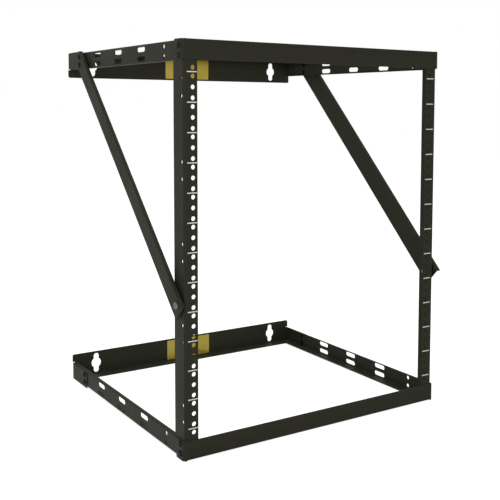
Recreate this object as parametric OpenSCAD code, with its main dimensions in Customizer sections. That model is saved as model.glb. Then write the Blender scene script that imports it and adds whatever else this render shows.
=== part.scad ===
// Two post open frame rack, 19 inch, twelve rack units.
// Two punched posts stand at the front between a bottom and a top frame.
// Each frame is a front rail, a rear rail and two side rails of folded sheet.
// A folded strip braces each post back to the rear of the top frame.
// X runs across the rack, Y from front to rear, Z up.
// The origin is the bottom centre of the whole rack.

/* [Rack] */
// Number of rack units between the two frames
units = 12; // [6:1:24]
// Height of one rack unit
unit_h = 44.45; // [42:0.05:48]
// From the last unit line to the outside of the frame, above and below
unit_margin = 48; // [48:1:80]
// Clear width between the mounting flanges of the two posts
opening_w = 451; // [440:1:600]
// Depth over the front and rear rails
frame_d = 480; // [440:5:900]

/* [Sheet] */
// Sheet thickness of the rails
rail_t = 1.5; // [1:0.1:2.5]
// Sheet thickness of the posts
post_t = 2; // [1:0.1:3]
// Sheet thickness of the braces
brace_t = 2; // [1:0.1:3]
// Inside radius of every fold
fold_r = 1.5; // [0.5:0.1:2]

/* [Posts] */
// Width of the punched front flange
post_flange = 22.5; // [20:0.5:35]
// Depth of the side web
post_web = 33; // [28:1:50]
// From the inner edge of the flange to the line of mounting holes
hole_inset = 7.05; // [6:0.05:9]
// Distance between two mounting holes of one rack unit
hole_step = 15.875; // [14:0.025:17]
// Diameter of a mounting hole
mount_hole_d = 7.1; // [5:0.1:9]
// Number of hole pairs along the side web
web_pairs = 5; // [1:1:5]
// Distance from one hole pair to the next
web_pair_pitch = 122; // [60:1:125]
// Distance between the two holes of a pair
web_pair_gap = 25.4; // [12:0.1:40]
// From the front of the post to the holes of the side web
web_hole_inset = 7.5; // [7.5:0.5:12]
// Diameter of the holes of the side web
web_hole_d = 6.5; // [4:0.1:7]

/* [Rails] */
// Height of the front and side rails
rail_h = 30; // [28:1:36]
// Height of the rear rails
rear_h = 46; // [44:1:70]
// Depth of the flange along the front rails
front_flange = 20; // [10:1:30]
// Depth of the flange along the rear rails
rear_flange = 24; // [10:1:40]
// Width of the wide flange of the side rails
side_flange = 20; // [10:1:23]
// Width of the narrow lip of the side rails
side_lip = 5.5; // [4:0.5:10]
// Length of the folded return at each end of a front rail
corner_return = 25; // [20:1:28]
// Length of the returns of a rear rail beyond the bracing holes
rear_return = 12; // [10:1:20]
// Gap between the end of a side rail and the sheet it runs up to
rail_end_gap = 2; // [2:0.5:4]
// Gap between a post and the flange or lip that it stands beside
post_end_gap = 2; // [2:0.5:6]
// Corner radius of the front and rear rails, seen from the front
corner_r = 3.5; // [1:0.5:5]
// Width of the notch that frees the fold of the rear rails
relief_w = 1.5; // [1:0.5:5]
// Length of the notch that frees the fold of the rear rails
relief_l = 5; // [4:0.5:12]

/* [Punching] */
// Distance between the two rows of slots and holes of a side rail
row_pitch = 15; // [13:0.5:16]
// Slots in each row
slots = 3; // [1:1:3]
// Distance from one slot to the next
slot_pitch = 93; // [50:1:100]
// Length of a slot, end to end
slot_l = 30; // [12:1:40]
// Width of a slot
slot_w = 8.5; // [5:0.5:10]
// From the outside of a front or rear rail to the bracing holes
brace_hole_inset = 63.5; // [58:0.5:80]
// Diameter of the bracing holes
brace_hole_d = 7; // [5:0.1:8]
// From the outside of a front rail to its corner screws
screw_inset = 13; // [12:0.5:15]
// Diameter of the corner screw holes
screw_hole_d = 6.5; // [4:0.1:7]
// Distance between the two keyholes of a rear rail
keyhole_span = 406.4; // [300:0.1:420]
// Diameter of the middle of a keyhole
keyhole_head_d = 19.5; // [12:0.5:24]
// Width of the slots of a keyhole
keyhole_slot_w = 10.5; // [6:0.5:11]
// Length of a keyhole over both slots
keyhole_l = 38; // [26:1:38]

/* [Braces] */
// Width of the strip
brace_w = 38; // [30:1:42]
// Height of the flange along the upper edge of the strip
brace_flange = 8; // [5:0.5:15]
// Length of the strip beyond its lower hole
brace_end = 14; // [10:1:20]
// From the front of the post to the lower hole of the brace
brace_foot_inset = 15; // [14:0.5:18]
// From the underside of the rack to the lower hole of the brace
brace_foot_z = 235; // [230:1:240]
// Diameter of the pad around the lower hole
brace_pad_d = 18; // [12:0.5:24]

/* [Hidden] */
$fn = 48;

// Cuts run past the surfaces that they go through by this much
cut = 1;
paint = [0.20, 0.20, 0.18];

// Height of the whole rack
rack_h = units * unit_h + 2 * unit_margin;
// Half width to the outside of the posts, of the side rails and of the returns
post_x = opening_w / 2 + post_flange;
side_x = post_x + rail_t;
return_x = side_x + rail_t;
// Front face of the posts, behind the sheet of the front rails
post_y = rail_t;
// Lowest height of a side rail, on the flanges of the front and rear rails
side_z = rail_t;
// Heights of the two rows of slots, holes and screws of a bottom frame
row_z = [for (side = [-1, 1]) side_z + rail_h / 2 + side * row_pitch / 2];
// Lower end of a post, above both flanges
post_z = side_z + rail_t + post_end_gap;
// Where the fold between the web and the flange of a front or rear rail ends
web_end_x = return_x - 2 * (rail_t + fold_r);
// Where that flange ends, clear of the folds at the corners
flange_end_x = web_end_x + fold_r;

// Lower and upper ends of the brace's centre line
foot_y = post_y + brace_foot_inset;
head_y = frame_d - brace_hole_inset;
head_z = rack_h - row_z[0];
brace_angle = atan2(head_z - brace_foot_z, head_y - foot_y);
brace_run = norm([head_y - foot_y, head_z - brace_foot_z]);
// The strip is cut off level with the top of the rack
brace_l = brace_end + brace_run + brace_w;
// Foremost point of the braces, at the front corner of their lower end
brace_front = foot_y - brace_end * cos(brace_angle) - brace_w / 2 * sin(brace_angle);
// Moves the rack so that its footprint is centred on the origin
centre_y = -(min(0, brace_front) + frame_d) / 2;

// Heights of the mounting holes: three to a unit, and one more past each end
first_hole = unit_h / 2 - hole_step;
unit_holes = [for (i = [0 : units - 1]) for (j = [-1 : 1])
    unit_margin + (i + 0.5) * unit_h + j * hole_step];
end_holes = [unit_margin - first_hole, rack_h - unit_margin + first_hole];
mount_holes = concat(unit_holes, end_holes);

// Places a solid that is drawn with the front rails at Y = 0
module in_rack() {
    translate([0, centre_y, 0]) children();
}

// Turns the bottom frame over to make the top frame
module at_top() {
    translate([0, 0, rack_h]) mirror([0, 0, 1]) children();
}

module at_left() {
    mirror([1, 0, 0]) children();
}

// Round hole along X through everything between two half widths
module hole_x(y, z, d, from_x, to_x) {
    translate([from_x, y, z])
        rotate([0, 90, 0])
            cylinder(d = d, h = to_x - from_x);
}

// Round hole along Y through a sheet whose near face is at from_y
module hole_y(x, z, d, from_y, t) {
    translate([x, from_y - cut, z])
        rotate([-90, 0, 0])
            cylinder(d = d, h = t + 2 * cut);
}

// Rectangle from the origin with the corner at the origin rounded
module one_round_corner(w, h, r) {
    translate([r, 0]) square([w - r, h]);
    translate([0, r]) square([w, h - r]);
    translate([r, r]) circle(r);
}

// Sheet folded once, with the outside of the fold at the origin
module folded_angle(w, h, t) {
    difference() {
        one_round_corner(w, h, fold_r + t);
        translate([t, t]) one_round_corner(w, h, fold_r);
    }
}

// Sheet folded twice: a web with a wide flange below and a narrow lip above
module folded_channel(web, flange, lip, t) {
    straight = web - fold_r - t;
    folded_angle(flange, straight, t);
    translate([0, web]) mirror([0, 1]) folded_angle(lip, straight, t);
}

// Rounds the corner where the return of a front or rear rail meets the flange
module corner_cut() {
    translate([return_x - corner_r, -cut, corner_r])
        rotate([-90, 0, 0])
            linear_extrude(cut + rail_t + fold_r)
                difference() {
                    square(corner_r + cut);
                    circle(corner_r);
                }
}

// Both ends of a front or rear rail: a return of length l with two holes near its end
module returned_ends(l, inset, d) {
    for (side = [0, 1])
        mirror([side, 0, 0])
            difference() {
                translate([return_x, 0, 0])
                    mirror([1, 0, 0])
                        linear_extrude(rail_h)
                            folded_angle(return_x - web_end_x, l, rail_t);
                corner_cut();
                for (z = row_z)
                    hole_x(inset, z, d, side_x - cut, return_x + cut);
            }
}

// Straight stretch of a front or rear rail, with the flange along its lower edge
module flanged_web(h, flange) {
    translate([-flange_end_x, 0, 0])
        rotate([90, 0, 90])
            linear_extrude(2 * flange_end_x)
                folded_angle(flange, h, rail_t);
}

// Front rail of the bottom frame
module front_rail() {
    color(paint) union() {
        flanged_web(rail_h, front_flange);
        returned_ends(corner_return, screw_inset, screw_hole_d);
    }
}

// Keyhole that works either way up: a round middle with a slot above and below
module keyhole(x, z) {
    slot_reach = (keyhole_l - keyhole_slot_w) / 2;
    hole_y(x, z, keyhole_head_d, 0, rail_t);
    for (side = [-1, 1])
        hole_y(x, z + side * slot_reach, keyhole_slot_w, 0, rail_t);
    translate([x - keyhole_slot_w / 2, -cut, z - slot_reach])
        cube([keyhole_slot_w, rail_t + 2 * cut, 2 * slot_reach]);
}

// Sheet of a rear rail where it stands above the side rails
module rear_upstand() {
    upstand_z = rail_h + relief_w;
    flat_x = return_x - corner_r;
    rotate([90, 0, 0])
        translate([0, 0, -rail_t])
            linear_extrude(rail_t) {
                translate([-return_x, upstand_z])
                    square([2 * return_x, rear_h - corner_r - upstand_z]);
                translate([-flat_x, rear_h - 2 * corner_r])
                    square([2 * flat_x, 2 * corner_r]);
                for (x = [-flat_x, flat_x])
                    translate([x, rear_h - corner_r]) circle(corner_r);
                translate([relief_l - return_x, rail_h - cut])
                    square([2 * (return_x - relief_l), rear_h - rail_h]);
            }
}

// Rear rail of the bottom frame, facing forward at the rear of the rack
module rear_rail() {
    color(paint)
        translate([0, frame_d, 0])
            mirror([0, 1, 0])
                difference() {
                    union() {
                        flanged_web(rear_h, rear_flange);
                        returned_ends(brace_hole_inset + rear_return, brace_hole_inset, brace_hole_d);
                        rear_upstand();
                    }
                    for (side = [-1, 1])
                        keyhole(side * keyhole_span / 2, rear_h / 2);
                }
}

// Slot along Y through the web of a side rail
module rail_slot(y, z) {
    reach = (slot_l - slot_w) / 2;
    for (end = [-1, 1])
        hole_x(y + end * reach, z, slot_w, post_x - cut, side_x + cut);
    translate([post_x - cut, y - reach, z - slot_w / 2])
        cube([rail_t + 2 * cut, 2 * reach, slot_w]);
}

// Right side rail of the bottom frame
module side_rail() {
    start_y = rail_t + rail_end_gap;
    lip_start_y = post_y + post_web + post_end_gap;
    color(paint) difference() {
        translate([side_x, frame_d - start_y, side_z])
            rotate([90, 0, 0])
                mirror([1, 0, 0])
                    linear_extrude(frame_d - 2 * start_y)
                        folded_channel(rail_h, side_flange, side_lip, rail_t);
        // the lip stops short of the post
        translate([side_x - side_lip - cut, 0, side_z + rail_h - rail_t - fold_r])
            cube([side_lip - rail_t + cut, lip_start_y, rail_t + fold_r + cut]);
        for (z = row_z) {
            for (i = [0 : slots - 1])
                rail_slot(frame_d / 2 + (i - (slots - 1) / 2) * slot_pitch, z);
            for (y = [brace_hole_inset, frame_d - brace_hole_inset])
                hole_x(y, z, brace_hole_d, post_x - cut, side_x + cut);
            hole_x(screw_inset, z, screw_hole_d, post_x - cut, side_x + cut);
        }
    }
}

// Right post, with its punched flange to the front and its web outside
module post() {
    post_l = rack_h - 2 * post_z;
    hole_x_centre = opening_w / 2 + hole_inset;
    color(paint) difference() {
        translate([post_x, post_y, post_z])
            mirror([1, 0, 0])
                linear_extrude(post_l)
                    folded_angle(post_flange, post_web, post_t);
        for (z = mount_holes)
            hole_y(hole_x_centre, z, mount_hole_d, post_y, post_t);
        for (i = [0 : web_pairs - 1])
            for (side = [-1, 1])
                hole_x(post_y + web_hole_inset,
                    rack_h / 2 + (i - (web_pairs - 1) / 2) * web_pair_pitch + side * web_pair_gap / 2,
                    web_hole_d, post_x - post_t - cut, post_x + cut);
        for (z = concat(row_z, [for (z = row_z) rack_h - z]))
            hole_x(screw_inset, z, screw_hole_d, post_x - post_t - cut, post_x + cut);
        hole_x(foot_y, brace_foot_z, brace_hole_d, post_x - post_t - cut, post_x + cut);
    }
}

// Right brace, from the post up to the rear of the top side rail
module brace() {
    color(paint) difference() {
        union() {
            translate([return_x, foot_y, brace_foot_z])
                rotate([brace_angle - 90, 0, 0])
                    rotate([0, 0, -90])
                        translate([brace_w / 2, 0, -brace_end])
                            mirror([1, 0, 0])
                                linear_extrude(brace_l)
                                    folded_angle(brace_w, brace_flange, brace_t);
            // the pad fills the step between the rear return and the post
            hole_x(foot_y, brace_foot_z, brace_pad_d, post_x, return_x + brace_t / 2);
        }
        hole_x(foot_y, brace_foot_z, brace_hole_d, post_x - cut, return_x + brace_t + cut);
        for (z = row_z)
            hole_x(head_y, rack_h - z, brace_hole_d, return_x - cut, return_x + brace_t + cut);
        translate([post_x - cut, 0, rack_h])
            cube([2 * brace_flange + 2 * cut, 2 * frame_d, brace_l]);
    }
}

in_rack() front_rail();  // front_bottom_rail
in_rack() rear_rail();  // rear_bottom_rail
in_rack() at_left() side_rail();  // left_bottom_side_rail
in_rack() side_rail();  // right_bottom_side_rail
in_rack() at_top() front_rail();  // front_top_rail
in_rack() at_top() rear_rail();  // rear_top_rail
in_rack() at_left() at_top() side_rail();  // left_top_side_rail
in_rack() at_top() side_rail();  // right_top_side_rail
in_rack() at_left() post();  // left_post
in_rack() post();  // right_post
in_rack() at_left() brace();  // left_brace
in_rack() brace();  // right_brace
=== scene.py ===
"""Looks of a two post open frame rack, built round its packed folded parts.

The folded parts get their powder coat here. The screws, nuts and bolts that join them, the
white unit marks on the posts and the blank stickers on the rear rails are added as pieces.
Lengths are in metres where they are places on the rack, and in millimetres in the sizes of
the small pieces.
"""

import logging
import math
from abc import ABC, abstractmethod
from collections.abc import Callable, Sequence
from dataclasses import dataclass, field
from enum import Enum

import bmesh
import bpy
from mathutils import Euler, Matrix, Vector

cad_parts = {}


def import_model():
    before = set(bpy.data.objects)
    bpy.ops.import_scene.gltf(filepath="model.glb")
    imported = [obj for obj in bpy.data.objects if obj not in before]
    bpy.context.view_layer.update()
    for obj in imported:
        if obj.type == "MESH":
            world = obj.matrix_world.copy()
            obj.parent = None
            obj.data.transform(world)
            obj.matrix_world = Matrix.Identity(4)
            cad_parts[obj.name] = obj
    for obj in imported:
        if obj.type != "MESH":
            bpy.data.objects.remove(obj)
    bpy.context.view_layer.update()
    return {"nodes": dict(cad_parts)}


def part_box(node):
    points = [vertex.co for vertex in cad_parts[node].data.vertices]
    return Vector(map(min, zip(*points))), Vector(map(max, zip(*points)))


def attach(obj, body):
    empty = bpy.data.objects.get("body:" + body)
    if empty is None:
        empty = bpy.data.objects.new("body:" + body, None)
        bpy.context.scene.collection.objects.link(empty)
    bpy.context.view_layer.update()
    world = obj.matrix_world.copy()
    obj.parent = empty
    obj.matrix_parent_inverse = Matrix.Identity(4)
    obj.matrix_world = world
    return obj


LOG = logging.getLogger("rack")
MM = 0.001
ROOT_BODY = "root"

Ring = list[Vector]


# ---------------------------------------------------------------- names and small helpers


class Side(Enum):
    """Left or right of the rack, seen from the front."""

    LEFT = -1
    RIGHT = 1

    @property
    def word(self) -> str:
        """The side's name in a piece's name."""
        return self.name.lower()


class Level(Enum):
    """The bottom or the top frame."""

    BOTTOM = 0
    TOP = 1

    @property
    def word(self) -> str:
        """The level's name in a piece's name."""
        return self.name.lower()


def linear(hex_code: str) -> tuple[float, float, float, float]:
    """Turns an sRGB hex colour into linear red, green, blue and alpha.

    Args:
        hex_code: Six hex digits with or without a leading hash.

    Returns:
        The linear colour with an alpha of one.
    """
    digits = hex_code.lstrip("#")
    channels = []
    for start in (0, 2, 4):
        value = int(digits[start : start + 2], 16) / 255
        channels.append(
            value / 12.92 if value <= 0.04045 else ((value + 0.055) / 1.055) ** 2.4
        )
    return channels[0], channels[1], channels[2], 1.0


def per_metre(size_mm: float) -> float:
    """Noise scale at which one blotch is about that many millimetres across."""
    return 1 / (size_mm * MM)


def add_node(
    tree: bpy.types.NodeTree,
    kind: str,
    settings: dict[str | int, object] | None = None,
    links: dict[str | int, bpy.types.NodeSocket] | None = None,
) -> bpy.types.Node:
    """Adds a node, sets it up and links its inputs.

    Args:
        tree: The node tree that gets the node.
        kind: The node's type name.
        settings: Values by input name or index, or by the name of a property of the node.
        links: The sockets that feed inputs, by input name or index.

    Returns:
        The new node.
    """
    node = tree.nodes.new(kind)
    for key, value in (settings or {}).items():
        if isinstance(key, int) or key in node.inputs:
            node.inputs[key].default_value = value
        else:
            setattr(node, key, value)
    for key, socket in (links or {}).items():
        tree.links.new(socket, node.inputs[key])
    return node


def white_rays(tree: bpy.types.NodeTree) -> bpy.types.NodeSocket:
    """Picks out the rays that see plain white round the rack.

    Args:
        tree: The node tree of the paper or of the surroundings.

    Returns:
        A socket that is one for camera, glossy and transmission rays, and zero for others.
    """
    path = add_node(tree, "ShaderNodeLightPath")
    seen = add_node(
        tree,
        "ShaderNodeMath",
        {"operation": "MAXIMUM"},
        {0: path.outputs["Is Camera Ray"], 1: path.outputs["Is Glossy Ray"]},
    )
    seen_all = add_node(
        tree,
        "ShaderNodeMath",
        {"operation": "MAXIMUM"},
        {0: seen.outputs["Value"], 1: path.outputs["Is Transmission Ray"]},
    )
    return seen_all.outputs["Value"]


# ---------------------------------------------------------------- meshes


def ring(radius: float, height: float, steps: int) -> Ring:
    """A circle of points about the Z axis.

    Args:
        radius: Radius of the circle.
        height: Its height.
        steps: Number of points.

    Returns:
        The points of the circle, counter-clockwise.
    """
    return [
        Vector(
            (
                radius * math.cos(2 * math.pi * i / steps),
                radius * math.sin(2 * math.pi * i / steps),
                height,
            )
        )
        for i in range(steps)
    ]


def hexagon_ring(flats: float, cap: float, height: float, bevel: float, steps: int) -> Ring:
    """A ring round a hexagon whose corners are turned down to a circle.

    Args:
        flats: Width across the flats.
        cap: Radius that the hexagon is cut back to.
        height: Height of the ring where it isn't cut back.
        bevel: How far the ring rises for each unit that a corner stands past the cap.
        steps: Number of points.

    Returns:
        The points of the ring.
    """
    points = []
    for i in range(steps):
        angle = 2 * math.pi * i / steps
        off_flat = (angle + math.pi / 6) % (math.pi / 3) - math.pi / 6
        corner = flats / 2 / math.cos(off_flat)
        radius = min(corner, cap)
        points.append(
            Vector(
                (
                    radius * math.cos(angle + math.pi / 6),
                    radius * math.sin(angle + math.pi / 6),
                    height + bevel * max(0.0, corner - cap),
                )
            )
        )
    return points


def rounded_outline(width: float, height: float, radius: float, steps: int) -> Ring:
    """The outline of a rectangle about the origin with round corners, in the XY plane.

    Args:
        width: Size along X.
        height: Size along Y.
        radius: Radius of the corners.
        steps: Number of steps round each corner.

    Returns:
        The points of the outline, counter-clockwise.
    """
    points = []
    for corner in range(4):
        sign_x = 1 if corner in (0, 3) else -1
        sign_y = 1 if corner in (0, 1) else -1
        centre = Vector((sign_x * (width / 2 - radius), sign_y * (height / 2 - radius), 0))
        for i in range(steps + 1):
            angle = math.pi / 2 * (corner + i / steps)
            points.append(
                centre + Vector((radius * math.cos(angle), radius * math.sin(angle), 0))
            )
    return points


def loft(rings: Sequence[Ring]) -> bmesh.types.BMesh:
    """Joins rings of equally many points into a closed skin with flat ends.

    Args:
        rings: The rings in order, each of them counter-clockwise seen from past the last.

    Returns:
        A closed mesh in the rings' own units.
    """
    skin = bmesh.new()
    rows = [[skin.verts.new(point) for point in points] for points in rings]
    count = len(rows[0])
    for low, high in zip(rows, rows[1:]):
        for i in range(count):
            j = (i + 1) % count
            skin.faces.new((low[i], low[j], high[j], high[i]))
    skin.faces.new(list(reversed(rows[0])))
    skin.faces.new(rows[-1])
    return skin


def film_patch(
    size: tuple[float, float], radii: tuple[float, float], steps: int, film: float
) -> bmesh.types.BMesh:
    """Makes a thin film with round corners and an edge that thins out.

    Args:
        size: Sizes along X and Y.
        radii: Radius of the corners at the foot and at the top of the film.
        steps: Number of steps round each corner.
        film: Thickness of the film.

    Returns:
        The closed mesh of the film, lying on the XY plane about the origin.
    """
    full_share = 0.7
    thin_edges = 0.1
    outline = rounded_outline(size[0], size[1], radii[0], steps)
    inner = rounded_outline(size[0] - thin_edges, size[1] - thin_edges, radii[1], steps)
    return loft(
        [
            outline,
            [point + Vector((0, 0, film * full_share)) for point in outline],
            [point + Vector((0, 0, film)) for point in inner],
        ]
    )


def finished_mesh(name: str, skin: bmesh.types.BMesh, crease_deg: float = 35) -> bpy.types.Mesh:
    """Turns a skin in millimetres into a mesh in metres, smooth but for its creases.

    Args:
        name: The mesh's name.
        skin: The skin, which is freed.
        crease_deg: Edges that turn by more than this stay sharp.

    Returns:
        The new mesh.
    """
    bmesh.ops.scale(skin, vec=(MM, MM, MM), verts=skin.verts)
    bmesh.ops.recalc_face_normals(skin, faces=skin.faces)
    mesh = bpy.data.meshes.new(name)
    skin.to_mesh(mesh)
    skin.free()
    mesh.shade_smooth()
    mesh.set_sharp_from_angle(angle=math.radians(crease_deg))
    return mesh


def cut_from(mesh: bpy.types.Mesh, tool: bpy.types.Mesh) -> bpy.types.Mesh:
    """Cuts one closed mesh out of another.

    Args:
        mesh: The mesh that is cut, which is removed.
        tool: The shape that is taken away, which is removed.

    Returns:
        What is left, under the cut mesh's name.
    """
    name = mesh.name
    body = bpy.data.objects.new("cut_body", mesh)
    cutter = bpy.data.objects.new("cut_tool", tool)
    for item in (body, cutter):
        bpy.context.scene.collection.objects.link(item)
    cut = body.modifiers.new("cut", "BOOLEAN")
    cut.operation = "DIFFERENCE"
    cut.solver = "EXACT"
    cut.object = cutter
    bpy.context.view_layer.update()
    graph = bpy.context.evaluated_depsgraph_get()
    result = bpy.data.meshes.new_from_object(body.evaluated_get(graph))
    for item in (body, cutter):
        bpy.data.objects.remove(item)
    bpy.data.meshes.remove(mesh)
    bpy.data.meshes.remove(tool)
    result.name = name
    return result


# ---------------------------------------------------------------- finishes


@dataclass(frozen=True)
class Finish(ABC):
    """A real finish: a material, how its surface was made, and what that shows."""

    name: str

    @abstractmethod
    def paint(self, tree: bpy.types.NodeTree, shader: bpy.types.Node) -> None:
        """Sets the shader of a new material and feeds it with patterns."""

    def make(self) -> bpy.types.Material:
        """Makes the material once.

        Returns:
            The material, which all pieces with this finish share.
        """
        made = bpy.data.materials.get(self.name)
        if made:
            return made
        material = bpy.data.materials.new(self.name)
        material.use_nodes = True
        tree = material.node_tree
        tree.nodes.clear()
        shader = add_node(tree, "ShaderNodeBsdfPrincipled")
        self.paint(tree, shader)
        add_node(
            tree, "ShaderNodeOutputMaterial", links={"Surface": shader.outputs["BSDF"]}
        )
        return material


@dataclass(frozen=True)
class PowderCoat(Finish):
    """Olive black polyester powder, sprayed on and baked.

    The baked powder levels to a fine orange peel with a sand-like grit on it. Both are finer
    than the eye can tell at arm's length, so flat sheet looks dull and the folds gleam softly.
    """

    name: str = "powder_coat_baked_polyester"
    coat: str = "#2A2A20"
    # paler coat: thin coat in the clouds, and the painted highlight along each convex edge
    thin_coat: str = "#33332A"
    dust: str = "#8A897E"
    roughness: float = 0.52
    roughness_spread: float = 0.06
    gloss_level: float = 0.06
    peel_mm: float = 1.6
    peel_depth_mm: float = 0.05
    grit_mm: float = 0.45
    grit_depth_mm: float = 0.03
    cloud_mm: float = 70.0
    cloud_range: tuple[float, float] = (0.35, 0.75)
    cloud_share: float = 0.45
    # pointiness band in which the painted edge highlight fades in, and its strongest share
    edge_range: tuple[float, float] = (0.53, 0.62)
    highlight_share: float = 0.7
    speck_mm: float = 6.0
    level_from: float = 0.75
    dust_share: float = 0.03

    def _coat_colour(
        self, tree: bpy.types.NodeTree, clouds: bpy.types.NodeSocket, shape: bpy.types.Node
    ) -> bpy.types.NodeSocket:
        """Coat colour in clouds, and paler along each convex edge: a painted highlight.

        Args:
            tree: The material's node tree.
            clouds: The broad pattern of thick and thin coat.
            shape: The node that gives the surface's shape.

        Returns:
            The socket of the colour.
        """
        spread = add_node(
            tree,
            "ShaderNodeMapRange",
            {
                "From Min": self.cloud_range[0],
                "From Max": self.cloud_range[1],
                "To Min": 0.0,
                "To Max": self.cloud_share,
            },
            {"Value": clouds},
        )
        tone = add_node(
            tree,
            "ShaderNodeMix",
            {"data_type": "RGBA", 6: linear(self.coat), 7: linear(self.thin_coat)},
            {0: spread.outputs["Result"]},
        )
        # painted highlight: each convex edge, found by pointiness, turns toward the paler coat
        edge_highlight = add_node(
            tree,
            "ShaderNodeMapRange",
            {
                "From Min": self.edge_range[0],
                "From Max": self.edge_range[1],
                "To Min": 0.0,
                "To Max": self.highlight_share,
            },
            {"Value": shape.outputs["Pointiness"]},
        )
        highlighted = add_node(
            tree,
            "ShaderNodeMix",
            {"data_type": "RGBA", 7: linear(self.thin_coat)},
            {0: edge_highlight.outputs["Result"], 6: tone.outputs[2]},
        )
        return highlighted.outputs[2]

    def _dust_cover(
        self, tree: bpy.types.NodeTree, place: bpy.types.NodeSocket, shape: bpy.types.Node
    ) -> bpy.types.NodeSocket:
        """Specks of dust on level faces.

        Args:
            tree: The material's node tree.
            place: The place on the part.
            shape: The node that gives the surface's shape.

        Returns:
            The socket of the share that dust covers.
        """
        facing = add_node(
            tree, "ShaderNodeSeparateXYZ", links={"Vector": shape.outputs["Normal"]}
        )
        specks = add_node(
            tree,
            "ShaderNodeTexNoise",
            {"Scale": per_metre(self.speck_mm), "Detail": 6.0, "Roughness": 0.7},
            {"Vector": place},
        )
        settled = add_node(
            tree,
            "ShaderNodeMapRange",
            {
                "From Min": self.level_from,
                "From Max": 1.0,
                "To Min": 0.0,
                "To Max": self.dust_share,
            },
            {"Value": facing.outputs["Z"]},
        )
        cover = add_node(
            tree,
            "ShaderNodeMath",
            {"operation": "MULTIPLY"},
            {0: settled.outputs["Result"], 1: specks.outputs["Fac"]},
        )
        return cover.outputs["Value"]

    def _relief(
        self, tree: bpy.types.NodeTree, place: bpy.types.NodeSocket
    ) -> bpy.types.NodeSocket:
        """Orange peel with grit on it, both at their real size.

        Args:
            tree: The material's node tree.
            place: The place on the part.

        Returns:
            The socket of the bumped normal.
        """
        peel = add_node(
            tree,
            "ShaderNodeTexNoise",
            {"Scale": per_metre(self.peel_mm), "Detail": 1.0},
            {"Vector": place},
        )
        grit = add_node(
            tree,
            "ShaderNodeTexNoise",
            {"Scale": per_metre(self.grit_mm), "Detail": 2.0},
            {"Vector": place},
        )
        peel_relief = add_node(
            tree,
            "ShaderNodeBump",
            {"Strength": 0.5, "Distance": self.peel_depth_mm * MM},
            {"Height": peel.outputs["Fac"]},
        )
        grit_relief = add_node(
            tree,
            "ShaderNodeBump",
            {"Strength": 0.45, "Distance": self.grit_depth_mm * MM},
            {"Height": grit.outputs["Fac"], "Normal": peel_relief.outputs["Normal"]},
        )
        return grit_relief.outputs["Normal"]

    def paint(self, tree: bpy.types.NodeTree, shader: bpy.types.Node) -> None:
        """Colour clouds, a painted highlight on each convex edge, dust on top, and peel and
        grit in relief.

        Args:
            tree: The material's node tree.
            shader: The shader that is fed.
        """
        place = add_node(tree, "ShaderNodeTexCoord").outputs["Object"]
        shape = add_node(tree, "ShaderNodeNewGeometry")
        clouds = add_node(
            tree,
            "ShaderNodeTexNoise",
            {"Scale": per_metre(self.cloud_mm), "Detail": 4.0, "Roughness": 0.6},
            {"Vector": place},
        ).outputs["Fac"]
        colour = add_node(
            tree,
            "ShaderNodeMix",
            {"data_type": "RGBA", 7: linear(self.dust)},
            {
                0: self._dust_cover(tree, place, shape),
                6: self._coat_colour(tree, clouds, shape),
            },
        )
        sheen = add_node(
            tree,
            "ShaderNodeMapRange",
            {
                "From Min": 0.3,
                "From Max": 0.7,
                "To Min": self.roughness - self.roughness_spread,
                "To Max": self.roughness + self.roughness_spread,
            },
            {"Value": clouds},
        )
        tree.links.new(colour.outputs[2], shader.inputs["Base Color"])
        tree.links.new(sheen.outputs["Result"], shader.inputs["Roughness"])
        tree.links.new(self._relief(tree, place), shader.inputs["Normal"])
        shader.inputs["Specular IOR Level"].default_value = self.gloss_level


@dataclass(frozen=True)
class PlatedSteel(Finish):
    """Barrel-plated steel fasteners: metal with faint stains and tumbling marks.

    The plating leaves a dull metal gleam that breaks up into small scuffs.
    """

    name: str = "steel_black_zinc_plated"
    plate: str = "#37363A"
    stain: str = "#1F1F20"
    roughness: float = 0.5
    bright_smoother: float = 0.08
    stain_rougher: float = 0.1
    stain_mm: float = 2.5
    scuff_mm: float = 0.5
    scuff_depth_mm: float = 0.02

    def paint(self, tree: bpy.types.NodeTree, shader: bpy.types.Node) -> None:
        """Stained plate colour, uneven gloss and fine scuffs.

        Args:
            tree: The material's node tree.
            shader: The shader that is fed.
        """
        place = add_node(tree, "ShaderNodeTexCoord").outputs["Object"]
        stains = add_node(
            tree,
            "ShaderNodeTexNoise",
            {"Scale": per_metre(self.stain_mm), "Detail": 3.0},
            {"Vector": place},
        )
        colour = add_node(
            tree,
            "ShaderNodeMix",
            {"data_type": "RGBA", 6: linear(self.stain), 7: linear(self.plate)},
            {0: stains.outputs["Fac"]},
        )
        tree.links.new(colour.outputs[2], shader.inputs["Base Color"])
        shader.inputs["Metallic"].default_value = 1.0
        gloss = add_node(
            tree,
            "ShaderNodeMapRange",
            {
                "From Min": 0.3,
                "From Max": 0.7,
                "To Min": self.roughness - self.bright_smoother,
                "To Max": self.roughness + self.stain_rougher,
            },
            {"Value": stains.outputs["Fac"]},
        )
        tree.links.new(gloss.outputs["Result"], shader.inputs["Roughness"])
        scuffs = add_node(
            tree,
            "ShaderNodeTexNoise",
            {"Scale": per_metre(self.scuff_mm), "Detail": 3.0, "Roughness": 0.7},
            {"Vector": place},
        )
        relief = add_node(
            tree,
            "ShaderNodeBump",
            {"Strength": 0.3, "Distance": self.scuff_depth_mm * MM},
            {"Height": scuffs.outputs["Fac"]},
        )
        tree.links.new(relief.outputs["Normal"], shader.inputs["Normal"])


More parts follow.
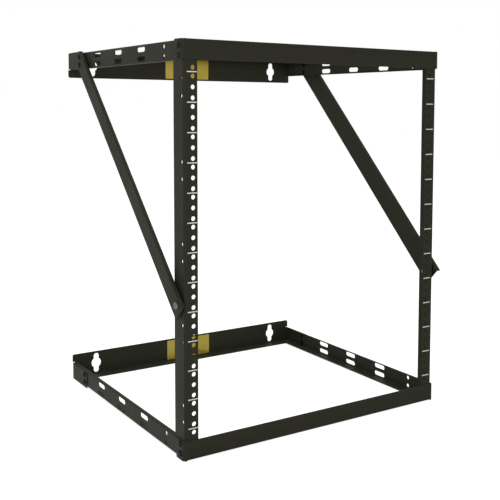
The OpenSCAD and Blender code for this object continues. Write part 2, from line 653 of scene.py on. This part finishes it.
@dataclass(frozen=True)
class ScreenInk(Finish):
    """White two-part ink, screen printed: a dense mat film with pinholes and a soft edge."""

    name: str = "ink_screen_printed_white"
    ink: str = "#E9E9E4"
    thin_ink: str = "#A9A9A2"
    roughness: float = 0.55
    pinhole_mm: float = 0.7
    pinhole_range: tuple[float, float] = (0.62, 0.72)
    pinhole_share: float = 0.6
    mesh_depth_mm: float = 0.01

    def paint(self, tree: bpy.types.NodeTree, shader: bpy.types.Node) -> None:
        """Dense ink with small thin spots and the mesh of the screen in relief.

        Args:
            tree: The material's node tree.
            shader: The shader that is fed.
        """
        place = add_node(tree, "ShaderNodeTexCoord").outputs["Object"]
        spots = add_node(
            tree,
            "ShaderNodeTexNoise",
            {"Scale": per_metre(self.pinhole_mm), "Detail": 2.0},
            {"Vector": place},
        )
        thin = add_node(
            tree,
            "ShaderNodeMapRange",
            {
                "From Min": self.pinhole_range[0],
                "From Max": self.pinhole_range[1],
                "To Min": 0.0,
                "To Max": self.pinhole_share,
            },
            {"Value": spots.outputs["Fac"]},
        )
        colour = add_node(
            tree,
            "ShaderNodeMix",
            {"data_type": "RGBA", 6: linear(self.ink), 7: linear(self.thin_ink)},
            {0: thin.outputs["Result"]},
        )
        tree.links.new(colour.outputs[2], shader.inputs["Base Color"])
        shader.inputs["Roughness"].default_value = self.roughness
        relief = add_node(
            tree,
            "ShaderNodeBump",
            {"Strength": 0.2, "Distance": self.mesh_depth_mm * MM},
            {"Height": spots.outputs["Fac"]},
        )
        tree.links.new(relief.outputs["Normal"], shader.inputs["Normal"])


@dataclass(frozen=True)
class VinylFilm(Finish):
    """Yellow self-adhesive vinyl, cast: satin, with faint ripples from being rubbed down."""

    name: str = "vinyl_film_cast_yellow"
    film: str = "#C9B440"
    aged_film: str = "#BBA234"
    roughness: float = 0.38
    ripple_mm: float = 9.0
    ripple_depth_mm: float = 0.1
    tint_mm: float = 25.0

    def paint(self, tree: bpy.types.NodeTree, shader: bpy.types.Node) -> None:
        """Slightly uneven yellow and ripples in relief.

        Args:
            tree: The material's node tree.
            shader: The shader that is fed.
        """
        place = add_node(tree, "ShaderNodeTexCoord").outputs["Object"]
        tint = add_node(
            tree,
            "ShaderNodeTexNoise",
            {"Scale": per_metre(self.tint_mm), "Detail": 5.0, "Roughness": 0.65},
            {"Vector": place},
        )
        colour = add_node(
            tree,
            "ShaderNodeMix",
            {"data_type": "RGBA", 6: linear(self.film), 7: linear(self.aged_film)},
            {0: tint.outputs["Fac"]},
        )
        tree.links.new(colour.outputs[2], shader.inputs["Base Color"])
        shader.inputs["Roughness"].default_value = self.roughness
        ripples = add_node(
            tree,
            "ShaderNodeTexNoise",
            {"Scale": per_metre(self.ripple_mm), "Detail": 2.0},
            {"Vector": place},
        )
        relief = add_node(
            tree,
            "ShaderNodeBump",
            {"Strength": 0.4, "Distance": self.ripple_depth_mm * MM},
            {"Height": ripples.outputs["Fac"]},
        )
        tree.links.new(relief.outputs["Normal"], shader.inputs["Normal"])


@dataclass(frozen=True)
class StudioPaper(Finish):
    """White seamless paper: mat, and plain white where the camera sees it lit.

    To the camera and in reflections the paper glows, so that it is white up to its far edge.
    Under the lamps that leaves hardly any of the rack's shadow on it.
    """

    name: str = "paper_seamless_white"
    paper: str = "#F4F4F2"
    glow: float = 0.72
    roughness: float = 0.9
    tooth_mm: float = 3.0
    tooth_depth_mm: float = 0.05

    def paint(self, tree: bpy.types.NodeTree, shader: bpy.types.Node) -> None:
        """Near white paper with a faint tooth, and its glow to the rays that see white.

        Args:
            tree: The material's node tree.
            shader: The shader that is fed.
        """
        place = add_node(tree, "ShaderNodeTexCoord").outputs["Object"]
        tooth = add_node(
            tree,
            "ShaderNodeTexNoise",
            {"Scale": per_metre(self.tooth_mm), "Detail": 2.0},
            {"Vector": place},
        )
        shader.inputs["Base Color"].default_value = linear(self.paper)
        shader.inputs["Roughness"].default_value = self.roughness
        shader.inputs["Specular IOR Level"].default_value = 0.0
        relief = add_node(
            tree,
            "ShaderNodeBump",
            {"Strength": 0.05, "Distance": self.tooth_depth_mm * MM},
            {"Height": tooth.outputs["Fac"]},
        )
        tree.links.new(relief.outputs["Normal"], shader.inputs["Normal"])
        glow = add_node(
            tree,
            "ShaderNodeMath",
            {"operation": "MULTIPLY", 1: self.glow},
            {0: white_rays(tree)},
        )
        shader.inputs["Emission Color"].default_value = (1.0, 1.0, 1.0, 1.0)
        tree.links.new(glow.outputs["Value"], shader.inputs["Emission Strength"])


POWDER_COAT = PowderCoat()
BLACK_ZINC = PlatedSteel()
CLEAR_ZINC = PlatedSteel(
    name="steel_clear_zinc_plated", plate="#77787A", stain="#505154", roughness=0.5
)
WHITE_INK = ScreenInk()
YELLOW_VINYL = VinylFilm()
WHITE_PAPER = StudioPaper()


# ---------------------------------------------------------------- the rack's places


@dataclass(frozen=True)
class RackPlaces:
    """Faces of the folded parts that the small pieces are put on, in metres."""

    front_y: float
    rear_y: float
    top_z: float
    post_front_y: float
    post_edge_x: float
    post_x: float
    rail_x: float
    return_x: float
    rear_height: float

    @classmethod
    def read(cls) -> "RackPlaces":
        """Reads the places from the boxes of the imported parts.

        Returns:
            The places, taken from the right side, as the rack is symmetric.
        """
        front_low, front_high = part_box("front_bottom_rail")
        _, rear_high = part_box("rear_bottom_rail")
        post_low, post_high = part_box("right_post")
        _, side_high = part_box("right_bottom_side_rail")
        _, top_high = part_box("front_top_rail")
        return cls(
            front_y=front_low.y,
            rear_y=rear_high.y,
            top_z=top_high.z,
            post_front_y=post_low.y,
            post_edge_x=post_low.x,
            post_x=post_high.x,
            rail_x=side_high.x,
            return_x=front_high.x,
            rear_height=rear_high.z,
        )

    def height(self, level: Level, from_outside: float) -> float:
        """Height of a point that lies that far inside the bottom or top frame."""
        return from_outside if level is Level.BOTTOM else self.top_z - from_outside


# ---------------------------------------------------------------- pieces


class SubAssembly(ABC):
    """A group of pieces that are built, dressed and put on the rack together."""

    @abstractmethod
    def build(self) -> list[bpy.types.Object]:
        """Builds the pieces, in place."""

    @abstractmethod
    def dress(self, pieces: list[bpy.types.Object]) -> None:
        """Gives the pieces their finishes."""

    def install(self) -> None:
        """Builds and dresses the pieces, lets them ride on the rack and reports them."""
        pieces = self.build()
        self.dress(pieces)
        for piece in pieces:
            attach(piece, ROOT_BODY)
            LOG.info("%s: %d faces", piece.name, len(piece.data.polygons))


def place_piece(name: str, mesh: bpy.types.Mesh, matrix: Matrix) -> bpy.types.Object:
    """Makes an object of a mesh and puts it in place.

    Args:
        name: The piece's name.
        mesh: Its mesh, which other pieces may share.
        matrix: Where it goes, in the rack's frame.

    Returns:
        The new object.
    """
    piece = bpy.data.objects.new(name, mesh)
    bpy.context.scene.collection.objects.link(piece)
    piece.matrix_world = matrix
    return piece


def give_finish(mesh: bpy.types.Mesh, finish: Finish) -> None:
    """Puts one finish on a whole mesh."""
    mesh.materials.clear()
    mesh.materials.append(finish.make())


@dataclass
class FoldedSheets:
    """The twelve folded and punched parts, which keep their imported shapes."""

    nodes: dict[str, bpy.types.Object]
    finish: Finish = POWDER_COAT

    def dress(self) -> None:
        """Puts the powder coat in every slot of every part."""
        coat = self.finish.make()
        for name, part in sorted(self.nodes.items()):
            if not part.material_slots:
                part.data.materials.append(coat)
            for place in part.material_slots:
                place.material = coat
            LOG.info("%s: coated", name)


@dataclass(frozen=True)
class ScrewSizes:
    """Sizes of one metric pan head screw and its hexagon nut, in millimetres."""

    thread: float = 5.0
    pitch: float = 0.8
    head: float = 9.5
    head_height: float = 3.6
    recess: float = 5.1
    recess_arm: float = 1.15
    recess_depth: float = 2.3
    flats: float = 8.0
    nut_height: float = 4.0


@dataclass
class ScrewMaker:
    """Makes the meshes of one size of screw and nut.

    A screw points along its own -Z, with the underside of its head at the origin, and a nut
    stands on the XY plane.
    """

    sizes: ScrewSizes
    steps: int = 36

    def _head_rings(self) -> list[Ring]:
        """Makes the domed head.

        Returns:
            The rings of the head, from its rim to its top.
        """
        size = self.sizes
        rim = size.head / 2
        rim_bevel = 0.25
        shoulder = 0.9
        crown_share = 0.42
        roundness = 0.8
        centre_share = 0.12
        crown_rise = 0.06
        arc_steps = 7
        rings = [
            ring(rim - rim_bevel, 0.0, self.steps),
            ring(rim, rim_bevel, self.steps),
        ]
        for i in range(arc_steps + 1):
            turn = math.pi / 2 * i / arc_steps
            dome = math.cos(turn) ** roundness
            radius = rim * (crown_share + (1 - crown_share) * dome)
            height = shoulder + (size.head_height - shoulder) * math.sin(turn)
            rings.append(ring(radius, height, self.steps))
        rings.append(ring(rim * centre_share, size.head_height + crown_rise, self.steps))
        return rings

    def _thread_rings(self, length: float, plain: float) -> list[Ring]:
        """Rings of the shank from its tip up to its head, with a helical thread.

        Args:
            length: Length of the shank.
            plain: Length under the head that carries no thread.

        Returns:
            The rings, tip first.
        """
        size = self.sizes
        major = size.thread / 2
        # depth of a metric thread for each unit of its pitch
        depth = 0.61 * size.pitch
        tip_chamfer = 0.35
        tip_height = 0.15
        crest_flat = 1.15
        neck_height = 0.2
        under_head = 0.02
        rows_per_turn = 6
        rows = round((length - plain) / size.pitch * rows_per_turn)
        rings = [ring(major - depth - tip_chamfer, -length, self.steps)]
        for row in range(rows + 1):
            height = -length + tip_height + (length - plain - tip_height) * row / rows
            from_tip = height + length
            run_out = min(1.0, from_tip / size.pitch)
            points = []
            for i in range(self.steps):
                phase = (height / size.pitch - i / self.steps) % 1.0
                crest = 1 - abs(2 * phase - 1)
                radius = major - depth + depth * min(crest * crest_flat, 1.0) * run_out
                angle = 2 * math.pi * i / self.steps
                points.append(
                    Vector((radius * math.cos(angle), radius * math.sin(angle), height))
                )
            rings.append(points)
        rings.append(ring(major, -plain + neck_height, self.steps))
        rings.append(ring(major, -under_head, self.steps))
        return rings

    def _recess(self) -> bpy.types.Mesh:
        """Makes the tool that strikes the cross into the head.

        Returns:
            The mesh of a cross that tapers downward.
        """
        size = self.sizes
        floor_span, floor_arm = 0.42, 0.6
        mouth_span, mouth_arm = 1.1, 1.15
        clear = 0.6

        def cross(span: float, arm: float, height: float) -> Ring:
            """Draws one level of the cross.

            Args:
                span: Length over two opposite arms.
                arm: Width of an arm.
                height: Height of the level.

            Returns:
                Its outline, counter-clockwise.
            """
            far, near = span / 2, arm / 2
            corners = [
                (far, -near), (far, near), (near, near), (near, far),
                (-near, far), (-near, near), (-far, near), (-far, -near),
                (-near, -near), (-near, -far), (near, -far), (near, -near),
            ]  # fmt: skip
            return [Vector((x, y, height)) for x, y in corners]

        top = size.head_height
        floor = cross(
            size.recess * floor_span, size.recess_arm * floor_arm, top - size.recess_depth
        )
        mouth = cross(size.recess * mouth_span, size.recess_arm * mouth_arm, top + clear)
        return finished_mesh("recess", loft([floor, mouth]))

    def screw(self, name: str, length: float, plain: float) -> bpy.types.Mesh:
        """Makes a pan head screw with a cross recess.

        Args:
            name: The mesh's name.
            length: Length under the head.
            plain: Length under the head that carries no thread.

        Returns:
            The mesh.
        """
        rings = self._thread_rings(length, plain) + self._head_rings()
        return cut_from(finished_mesh(name, loft(rings)), self._recess())

    def nut(self, name: str) -> bpy.types.Mesh:
        """Makes a hexagon nut with chamfered corners and a countersunk thread.

        Args:
            name: The mesh's name.

        Returns:
            The mesh.
        """
        size = self.sizes
        top = size.nut_height
        bore = size.thread / 2
        cap = size.flats / 2 * 1.02
        chamfer_slope = 0.55
        foot = 0.15
        bore_gap = 0.05
        flare = 0.35
        sink = 0.3
        steps = 48
        base = hexagon_ring(size.flats, size.flats, foot, 0.0, steps)
        chamfer = hexagon_ring(size.flats, cap, top, -chamfer_slope, steps)
        rings = [
            ring(bore + bore_gap, sink, steps),
            ring(bore + flare, 0.0, steps),
            hexagon_ring(size.flats, cap, 0.0, 0.0, steps),
            base,
            [Vector((low.x, low.y, high.z)) for low, high in zip(base, chamfer)],
            hexagon_ring(size.flats, cap, top, 0.0, steps),
            ring(bore + flare, top, steps),
            ring(bore + bore_gap, top - sink, steps),
        ]
        return finished_mesh(name, loft(rings))


@dataclass(frozen=True)
class JointPlace:
    """Where a screw goes through the sheets at one side of the rack, in metres."""

    name: str
    side: Side
    outer_x: float
    inner_x: float
    y: float
    z: float
    turn_deg: float

    def head_matrix(self) -> Matrix:
        """Place of the screw: head on the outermost sheet, shank inward."""
        return self._matrix(self.outer_x, 1)

    def nut_matrix(self) -> Matrix:
        """Place of the nut: on the innermost sheet, standing inward."""
        return self._matrix(self.inner_x, -1)

    def _matrix(self, x: float, outward: int) -> Matrix:
        """Turns a piece's own Z outward or inward, and a screw about it.

        Args:
            x: Half width of the face that the piece stands on.
            outward: One for a screw, minus one for a nut.

        Returns:
            The place in the rack's frame.
        """
        tip = Euler((0, math.radians(90) * outward * self.side.value, 0)).to_matrix()
        spin = Euler((0, 0, math.radians(self.turn_deg if outward > 0 else 0))).to_matrix()
        place = Vector((x * self.side.value, self.y, self.z))
        return Matrix.Translation(place) @ (tip @ spin).to_4x4()


@dataclass
class Fasteners(SubAssembly):
    """The screws and nuts that hold the folded parts together."""

    places: RackPlaces
    small: ScrewMaker = field(default_factory=lambda: ScrewMaker(ScrewSizes()))
    large: ScrewMaker = field(
        default_factory=lambda: ScrewMaker(
            ScrewSizes(
                thread=6.0, pitch=1.0, head=12.0, head_height=4.4, recess=6.3,
                recess_arm=1.4, recess_depth=2.8, flats=10.0, nut_height=5.0,
            )  # fmt: skip
        )
    )
    row_mm: tuple[float, float] = (9.0, 24.0)
    front_inset_mm: float = 13.0
    rear_inset_mm: float = 63.5
    foot_inset_mm: float = 16.5
    foot_z_mm: float = 235.0
    post_sheet_mm: float = 2.0
    rail_sheet_mm: float = 1.5
    brace_sheet_mm: float = 2.0
    # angles at which the screws came to stop: the first, then steps by row, level and side
    corner_turns_deg: tuple[int, int, int, int] = (17, 53, 31, 11)
    rear_turns_deg: tuple[int, int, int, int] = (62, 47, 23, 19)
    foot_turn_deg: float = 40.0

    @staticmethod
    def _turned(turns: tuple[int, int, int, int], row: int, level: Level, side: Side) -> int:
        """The angle of one screw, from the first angle and the three steps."""
        first, by_row, by_level, by_side = turns
        return first + by_row * row + by_level * level.value + by_side * side.value

    def _corner_places(self, side: Side) -> list[JointPlace]:
        """Finds the front corners, where a return, a side rail and a post meet.

        Args:
            side: The side of the rack.

        Returns:
            The four joints of that side.
        """
        rack = self.places
        found = []
        for level in Level:
            for row, height in enumerate(self.row_mm):
                found.append(
                    JointPlace(
                        f"{side.word}_front_{level.word}_{row + 1}",
                        side,
                        rack.return_x,
                        rack.post_x - self.post_sheet_mm * MM,
                        rack.front_y + self.front_inset_mm * MM,
                        rack.height(level, height * MM),
                        self._turned(self.corner_turns_deg, row, level, side),
                    )
                )
        return found

    def _rear_places(self, side: Side) -> list[JointPlace]:
        """Finds the rear ends, where a return lies on a side rail, at the top under a brace.

        Args:
            side: The side of the rack.

        Returns:
            The four joints of that side.
        """
        rack = self.places
        found = []
        for level in Level:
            brace = self.brace_sheet_mm * MM if level is Level.TOP else 0.0
            for row, height in enumerate(self.row_mm):
                found.append(
                    JointPlace(
                        f"{side.word}_rear_{level.word}_{row + 1}",
                        side,
                        rack.return_x + brace,
                        rack.rail_x - self.rail_sheet_mm * MM,
                        rack.rear_y - self.rear_inset_mm * MM,
                        rack.height(level, height * MM),
                        self._turned(self.rear_turns_deg, row, level, side),
                    )
                )
        return found

    def _foot_place(self, side: Side) -> JointPlace:
        """Finds the lower end of a brace, on its post.

        Args:
            side: The side of the rack.

        Returns:
            The joint.
        """
        rack = self.places
        return JointPlace(
            f"{side.word}_brace_foot",
            side,
            rack.return_x + self.brace_sheet_mm * MM,
            rack.post_x - self.post_sheet_mm * MM,
            rack.front_y + self.foot_inset_mm * MM,
            self.foot_z_mm * MM,
            self.foot_turn_deg,
        )

    def build(self) -> list[bpy.types.Object]:
        """Makes one mesh of each kind of screw and nut and puts it in every place.

        Returns:
            The screws and nuts.
        """
        # stock lengths that reach through the sheets and the nut
        corner_screw = self.small.screw("corner_screw", length=12.0, plain=1.0)
        rear_screw = self.small.screw("rear_screw", length=10.0, plain=1.0)
        top_screw = self.small.screw("top_screw", length=12.0, plain=1.0)
        foot_bolt = self.large.screw("foot_bolt", length=16.0, plain=2.0)
        small_nut = self.small.nut("small_nut")
        large_nut = self.large.nut("large_nut")
        pieces = []
        for side in Side:
            joints = [(corner_screw, small_nut, p) for p in self._corner_places(side)]
            for place in self._rear_places(side):
                screw = top_screw if "top" in place.name else rear_screw
                joints.append((screw, small_nut, place))
            joints.append((foot_bolt, large_nut, self._foot_place(side)))
            for screw, nut, place in joints:
                pieces.append(
                    place_piece(f"{place.name}_screw", screw, place.head_matrix())
                )
                pieces.append(place_piece(f"{place.name}_nut", nut, place.nut_matrix()))
        return pieces

    def dress(self, pieces: list[bpy.types.Object]) -> None:
        """Puts black zinc on all but the two bolts at the feet of the braces.

        Args:
            pieces: The screws and nuts.
        """
        for mesh in {piece.data for piece in pieces}:
            large = mesh.name in ("foot_bolt", "large_nut")
            give_finish(mesh, CLEAR_ZINC if large else BLACK_ZINC)


@dataclass
class UnitMarks(SubAssembly):
    """Printed lines on the posts between one rack unit and the next."""

    places: RackPlaces
    count: int = 13
    first_mm: float = 48.0
    unit_mm: float = 44.45
    length_mm: float = 16.0
    width_mm: float = 1.6
    film_mm: float = 0.06
    corner_mm: tuple[float, float] = (0.3, 0.25)
    edge_gap_mm: float = 1.0

    def _strip(self) -> bmesh.types.BMesh:
        """Draws all the lines of one post.

        Returns:
            The lines, lying in the XY plane with Y upward.
        """
        strip = bmesh.new()
        for i in range(self.count):
            rise = Vector((0, self.first_mm + i * self.unit_mm, 0))
            size = (self.length_mm, self.width_mm)
            line = film_patch(size, self.corner_mm, 3, self.film_mm)
            bmesh.ops.translate(line, vec=rise, verts=line.verts)
            scrap = bpy.data.meshes.new("line")
            line.to_mesh(scrap)
            line.free()
            strip.from_mesh(scrap)
            bpy.data.meshes.remove(scrap)
        return strip

    def build(self) -> list[bpy.types.Object]:
        """Puts a strip of lines on the front of each post.

        Returns:
            Both strips.
        """
        rack = self.places
        stand = Euler((math.radians(90), 0, 0)).to_matrix().to_4x4()
        pieces = []
        for side in Side:
            mesh = finished_mesh(f"{side.word}_unit_marks", self._strip())
            centre = rack.post_edge_x + (self.edge_gap_mm + self.length_mm / 2) * MM
            place = Matrix.Translation((side.value * centre, rack.post_front_y, 0))
            pieces.append(place_piece(mesh.name, mesh, place @ stand))
        return pieces

    def dress(self, pieces: list[bpy.types.Object]) -> None:
        """Puts white ink on every line.

        Args:
            pieces: Both strips.
        """
        for piece in pieces:
            give_finish(piece.data, WHITE_INK)


@dataclass
class BlankStickers(SubAssembly):
    """Plain yellow stickers on the front faces of the rear rails."""

    places: RackPlaces
    width_mm: float = 98.0
    height_mm: float = 40.0
    corner_mm: tuple[float, float] = (2.5, 2.5)
    film_mm: float = 0.15
    sheet_mm: float = 1.5

    def build(self) -> list[bpy.types.Object]:
        """Puts one sticker in the middle of each rear rail.

        Returns:
            Both stickers.
        """
        rack = self.places
        stand = Euler((math.radians(90), 0, 0)).to_matrix().to_4x4()
        pieces = []
        for level in Level:
            size = (self.width_mm, self.height_mm)
            skin = film_patch(size, self.corner_mm, 6, self.film_mm)
            mesh = finished_mesh(f"{level.word}_sticker", skin)
            place = Matrix.Translation(
                (
                    0,
                    rack.rear_y - self.sheet_mm * MM,
                    rack.height(level, rack.rear_height / 2),
                )
            )
            pieces.append(place_piece(mesh.name, mesh, place @ stand))
        return pieces

    def dress(self, pieces: list[bpy.types.Object]) -> None:
        """Puts yellow vinyl on both stickers.

        Args:
            pieces: Both stickers.
        """
        for piece in pieces:
            give_finish(piece.data, YELLOW_VINYL)


# ---------------------------------------------------------------- the studio


@dataclass(frozen=True)
class SoftBox:
    """A square lamp that shines on a point."""

    name: str
    place: tuple[float, float, float]
    aim: tuple[float, float, float]
    size: float
    power: float

    def build(self) -> None:
        """Hangs the lamp."""
        data = bpy.data.lights.new(self.name, "AREA")
        data.shape = "SQUARE"
        data.size = self.size
        data.energy = self.power
        lamp = bpy.data.objects.new(self.name, data)
        bpy.context.scene.collection.objects.link(lamp)
        lamp.location = self.place
        toward = Vector(self.aim) - Vector(self.place)
        lamp.rotation_euler = toward.to_track_quat("-Z", "Y").to_euler()


@dataclass
class Studio:
    """Camera, floor, lamps and white surroundings."""

    camera_place: tuple[float, float, float] = (-0.81353, -1.36338, 0.53189)
    camera_turn_deg: tuple[float, float, float] = (85.6227, -0.3196, -34.324)
    lens_mm: float = 61.834
    shift: tuple[float, float] = (-0.100, -0.156)
    clip: tuple[float, float] = (0.05, 50.0)
    floor_size: float = 14.0
    floor_sheet: float = 0.002
    floor_gap: float = 0.0005
    floor_steps: int = 16
    surround_level: float = 0.4
    lamps: tuple[SoftBox, ...] = (
        SoftBox("key_left", (-1.6, -0.9, 1.3), (0.0, 0.0, 0.3), 1.1, 6.5),
        SoftBox("fill_front", (-0.5, -1.9, 1.1), (0.0, 0.0, 0.3), 1.2, 7.5),
        SoftBox("top", (0.0, 0.3, 2.4), (0.0, 0.0, 0.0), 1.6, 9.0),
    )

    def _camera(self) -> None:
        """Stands the camera to the left in front of the rack."""
        data = bpy.data.cameras.new("camera")
        data.lens = self.lens_mm
        data.shift_x, data.shift_y = self.shift
        data.clip_start, data.clip_end = self.clip
        camera = bpy.data.objects.new("camera", data)
        bpy.context.scene.collection.objects.link(camera)
        camera.location = self.camera_place
        camera.rotation_euler = [math.radians(turn) for turn in self.camera_turn_deg]
        bpy.context.scene.camera = camera

    def _floor(self) -> None:
        """Lays a sheet of paper under the rack, its corners rounded off."""
        size = self.floor_size
        outline = rounded_outline(size, size, size / 3, self.floor_steps)
        under = [point - Vector((0, 0, self.floor_sheet)) for point in outline]
        skin = loft([under, outline])
        bmesh.ops.scale(skin, vec=(1 / MM, 1 / MM, 1 / MM), verts=skin.verts)
        mesh = finished_mesh("floor", skin)
        floor = place_piece("floor", mesh, Matrix.Translation((0, 0, -self.floor_gap)))
        give_finish(mesh, WHITE_PAPER)

    def _surroundings(self) -> None:
        """White to the camera and in reflections, and soft light for everything else."""
        world = bpy.data.worlds.new("studio")
        bpy.context.scene.world = world
        world.use_nodes = True
        tree = world.node_tree
        tree.nodes.clear()
        strength = add_node(
            tree,
            "ShaderNodeMapRange",
            {"To Min": self.surround_level, "To Max": 1.0},
            {"Value": white_rays(tree)},
        )
        glow = add_node(
            tree,
            "ShaderNodeBackground",
            {"Color": (1.0, 1.0, 1.0, 1.0)},
            {"Strength": strength.outputs["Result"]},
        )
        add_node(
            tree, "ShaderNodeOutputWorld", links={"Surface": glow.outputs["Background"]}
        )

    def build(self) -> None:
        """Builds the whole studio."""
        self._camera()
        self._floor()
        self._surroundings()
        for lamp in self.lamps:
            lamp.build()
        bpy.context.scene.view_settings.view_transform = "Standard"
        LOG.info("studio: %d lamps", len(self.lamps))


# ---------------------------------------------------------------- the whole scene


def corners(box: tuple[Vector, Vector]) -> list[list[float]]:
    """A box as two plain lists of numbers."""
    return [list(corner) for corner in box]


def main() -> None:
    """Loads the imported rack, dresses it and adds its small pieces and the studio."""
    logging.basicConfig(level=logging.INFO, format="%(name)s: %(message)s")
    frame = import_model()
    places = RackPlaces.read()
    FoldedSheets(frame["nodes"]).dress()
    makers: list[Callable[[RackPlaces], SubAssembly]] = [Fasteners, UnitMarks, BlankStickers]
    for maker in makers:
        maker(places).install()
    Studio().build()


if __name__ == "__main__":
    main()
